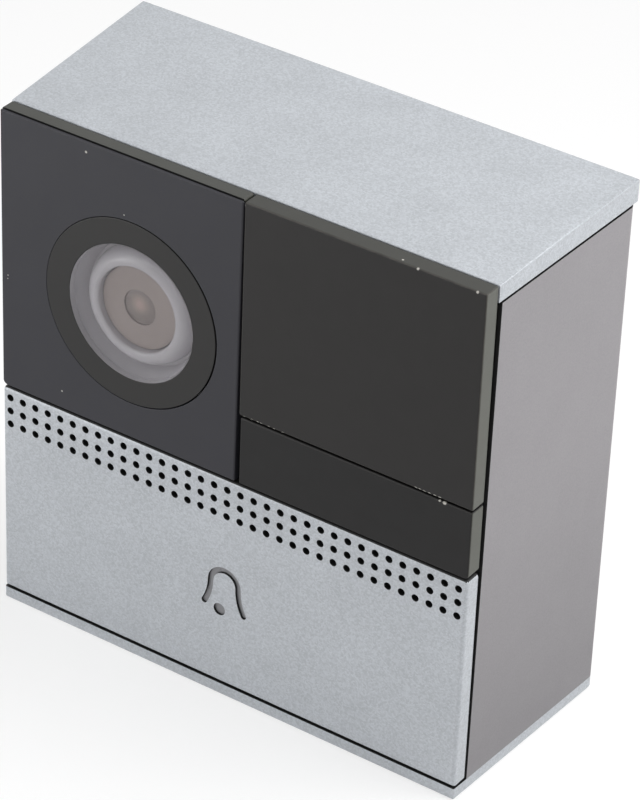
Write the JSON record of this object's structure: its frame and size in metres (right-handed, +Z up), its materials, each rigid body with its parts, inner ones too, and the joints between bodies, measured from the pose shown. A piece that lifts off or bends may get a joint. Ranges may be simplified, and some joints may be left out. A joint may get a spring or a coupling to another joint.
{
  "type": "video door phone",
  "caption": "Wall-mounted video door station with camera, speaking grille and a hinged call panel marked with a bell.",
  "frame": {"origin": "middle of the footprint on the underside: the middle of the width and depth, at the height of the bottom cover's underside", "axes": "+X to the right as a visitor faces it, +Y from the front face back to the wall, +Z up"},
  "size_m": [0.1042, 0.044, 0.1064],
  "materials": {
    "grey_housing": "satin grey paint on moulded plastic",
    "silver_paint": "silver paint with fine metal flake on moulded plastic",
    "black_plastic": "fine matt moulded",
    "gloss_black": "gloss",
    "clear_window": "polished",
    "black_rubber": "matt",
    "shroud_grey": "satin",
    "lens_grey": "satin",
    "lens_glass": "coated and polished",
    "anodised_black": "black anodised",
    "chip_black": "moulded resin",
    "circuit_board": "solder mask",
    "screw_steel": "nickel plated",
    "spring_steel": "bright strip",
    "pressed_steel": "black paint",
    "magnet_grey": "plated",
    "cone_paper": "black paper",
    "speaker_cloth": "open weave",
    "bell_smoke": "translucent satin",
    "led_white": "clear resin",
    "terminal_green": "moulded",
    "can_aluminium": "drawn",
    "connector_white": "moulded",
    "flex_film": "amber film",
    "bracket_zinc": "zinc plated sheet"
  },
  "bodies": {
    "housing": {"rear_housing": "grey_housing", "top_cover": "silver_paint", "bottom_cover": "silver_paint", "camera_module_frame": "black_plastic", "camera_faceplate": "black_plastic", "upper_module_cover": "black_plastic", "lower_module_cover": "black_plastic", "front_chassis": "black_plastic", "camera_bezel": "gloss_black", "camera_window": "clear_window", "window_seal": "black_rubber", "lens_shroud": "shroud_grey", "lens_flange": "lens_grey", "lens_glass": "lens_glass", "lens_barrel": "anodised_black", "lens_holder": "black_plastic", "image_sensor": "chip_black", "camera_board": "circuit_board", "camera_board_screws": "screw_steel", "pivot_pins": "screw_steel", "return_spring": "spring_steel", "switch_body": "chip_black", "key_board": "circuit_board", "key_board_screws": "screw_steel", "bell_led": "led_white", "speaker_gasket": "black_rubber", "speaker_frame": "pressed_steel", "speaker_cone": "cone_paper", "speaker_magnet": "magnet_grey", "microphone_boot": "black_rubber", "microphone": "can_aluminium", "main_board": "circuit_board", "main_board_screws": "screw_steel", "terminal_block": "terminal_green", "terminal_screws": "screw_steel", "capacitors": "can_aluminium", "integrated_circuits": "chip_black", "flex_connectors": "connector_white", "camera_flex": "flex_film", "front_gasket": "black_rubber", "chassis_screws": "screw_steel", "wall_bracket": "bracket_zinc", "locking_screw": "screw_steel", "cable_grommet": "black_rubber"},
    "call_key": {"call_panel": "silver_paint", "bell_lens": "bell_smoke", "grille_cloth": "speaker_cloth"},
    "switch_key": {"switch_plunger": "chip_black"}
  },
  "joints": [
    {"name": "call_key_hinge", "type": "hinge", "parent": "housing", "child": "call_key", "pos_m": [0, -0.0138, 0.0435], "axis": [1, 0, 0], "range_deg": [0, 0.5], "stiffness_Nm_per_rad": 1, "springref_deg": -1, "deforming": ["return_spring"]},
    {"name": "call_switch_slide", "type": "slide", "parent": "housing", "child": "switch_key", "axis": [0, 1, 0], "range_m": [0, 0.00028]}
  ],
  "couplings": [
    {"joint": "call_switch_slide", "follows": "call_key_hinge", "m_per_rad": 0.031}
  ]
}
